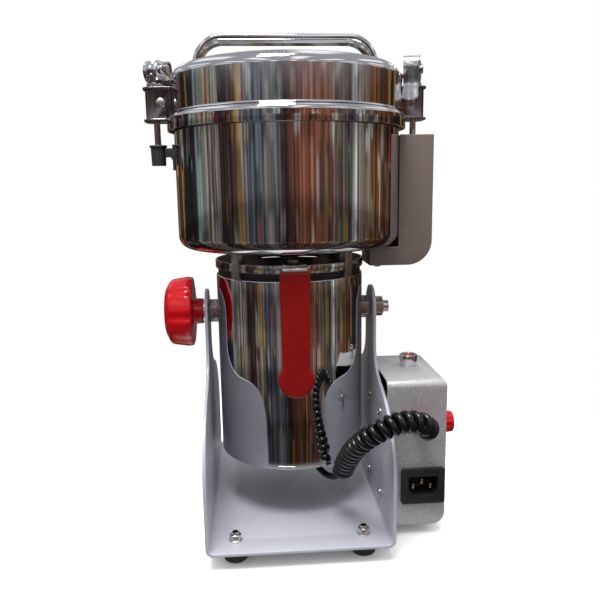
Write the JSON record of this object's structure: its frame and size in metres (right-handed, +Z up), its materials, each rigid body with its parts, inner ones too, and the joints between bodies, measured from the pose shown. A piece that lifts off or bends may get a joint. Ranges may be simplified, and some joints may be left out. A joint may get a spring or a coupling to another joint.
{
  "type": "tilting grain mill",
  "caption": "Bench mill for dry grain: blades spin in a lidded steel bowl above an upright motor, and the head tilts in its stand to pour.",
  "frame": {"origin": "on the table, under the motor's axis", "axes": "+Z up along the motor's axis, -Y the front with the red handle, +X the side with the control box"},
  "size_m": [0.246, 0.2194, 0.395],
  "materials": {
    "stand_paint": "satin powder coat, pale lavender grey",
    "box_paint": "fine metallic sparkle paint, silver grey",
    "cover_paint": "smooth warm grey paint",
    "polished_steel": "mirror polished stainless steel",
    "chromed": "bright chrome plate",
    "block_steel": "darker plated steel",
    "cast_grey": "as cast, grey",
    "zinc": "zinc plated",
    "steel": "machined",
    "iron": "laminated iron, varnished",
    "copper": "varnished copper wire",
    "brass": "bright",
    "red_plastic": "glossy",
    "red_pvc": "satin dipped PVC",
    "gland_red": "satin",
    "black_plastic": "moulded",
    "white_plastic": "moulded",
    "black_paint": "semi gloss black",
    "rubber": "moulded",
    "cord": "glossy sheath",
    "silicone": "translucent white"
  },
  "bodies": {
    "stand": {"stand_frame": "stand_paint", "rubber_feet": "rubber", "foot_bolts": "zinc", "control_box": "box_paint", "box_screws": "zinc", "power_inlet": "black_plastic", "inlet_pins": "brass", "cord_gland": "gland_red", "coiled_cord": "cord", "reset_bezel": "chromed", "breaker_body": "black_plastic", "timer_body": "white_plastic"},
    "knob": {"clamp_knob": "red_plastic", "knob_stud": "zinc"},
    "reset": {"reset_button": "red_plastic"},
    "timer": {"timer_knob": "red_plastic"},
    "head": {"motor_housing": "polished_steel", "motor_end_cover": "black_plastic", "motor_grommet": "rubber", "motor_top_plate": "black_paint", "neck_band": "polished_steel", "support_posts": "steel", "handle_strap": "zinc", "handle_grip": "red_pvc", "handle_screw": "zinc", "motor_stator": "iron", "stator_windings": "copper", "bearing_brackets": "cast_grey", "ball_bearings": "steel", "brush_holders": "brass", "trunnion_bosses": "zinc", "pivot_bolt": "zinc", "pivot_nut": "zinc", "grinding_bowl": "polished_steel", "latch_cup": "cast_grey", "shaft_seal": "rubber", "interlock_cover": "cover_paint", "interlock_switch": "black_plastic", "cover_screws": "zinc"},
    "rotor": {"drive_shaft": "steel", "armature": "iron", "commutator": "copper", "cooling_fan": "black_plastic", "lower_blade": "steel", "middle_blade": "steel", "upper_blade": "steel", "blade_spacers": "steel", "blade_nut": "zinc"},
    "lid": {"lid_shell": "polished_steel", "lid_gasket": "silicone", "lid_handle": "polished_steel", "latch_blocks": "block_steel", "latch_screws": "zinc"},
    "left_rod_body": {"left_rod": "chromed", "left_pin": "chromed"},
    "right_rod_body": {"right_rod": "chromed", "right_pin": "chromed"},
    "left_lever_body": {"left_lever": "chromed"},
    "right_lever_body": {"right_lever": "chromed"}
  },
  "joints": [
    {"name": "head_tilt", "type": "hinge", "parent": "stand", "child": "head", "pos_m": [0, 0, 0.176], "axis": [1, 0, 0], "range_deg": [0, 85], "deforming": ["coiled_cord"]},
    {"name": "knob_turn", "type": "hinge", "parent": "head", "child": "knob", "pos_m": [-0.09, 0, 0.176], "axis": [-1, 0, 0], "range_deg": [0, 360]},
    {"name": "reset_press", "type": "slide", "parent": "stand", "child": "reset", "axis": [0, 0, -1], "range_m": [0, 0.0025], "stiffness_N_per_m": 400, "springref_m": -0.0005},
    {"name": "timer_turn", "type": "hinge", "parent": "stand", "child": "timer", "pos_m": [0.12, -0.027, 0.08], "axis": [-1, 0, 0], "range_deg": [0, 300]},
    {"name": "rotor_spin", "type": "hinge", "parent": "head", "child": "rotor", "pos_m": [0, 0, 0.15], "axis": [0, 0, 1], "continuous": true},
    {"name": "lid_lift", "type": "slide", "parent": "head", "child": "lid", "axis": [0, 0, 1], "range_m": [0, 0.12]},
    {"name": "left_rod_drop", "type": "slide", "parent": "lid", "child": "left_rod_body", "axis": [0, 0, -1], "range_m": [0, 0.0024]},
    {"name": "right_rod_drop", "type": "slide", "parent": "lid", "child": "right_rod_body", "axis": [0, 0, -1], "range_m": [0, 0.0024]},
    {"name": "left_lever_flip", "type": "hinge", "parent": "left_rod_body", "child": "left_lever_body", "pos_m": [-0.103, 0, 0.369], "axis": [0.9397, -0.342, 0], "range_deg": [0, 150]},
    {"name": "right_lever_flip", "type": "hinge", "parent": "right_rod_body", "child": "right_lever_body", "pos_m": [0.103, 0, 0.369], "axis": [-0.9397, 0.342, 0], "range_deg": [0, 150]}
  ],
  "couplings": [
    {"joint": "left_lever_flip", "follows": "left_rod_drop", "rad_per_m": 1090.8},
    {"joint": "right_lever_flip", "follows": "right_rod_drop", "rad_per_m": 1090.8}
  ]
}
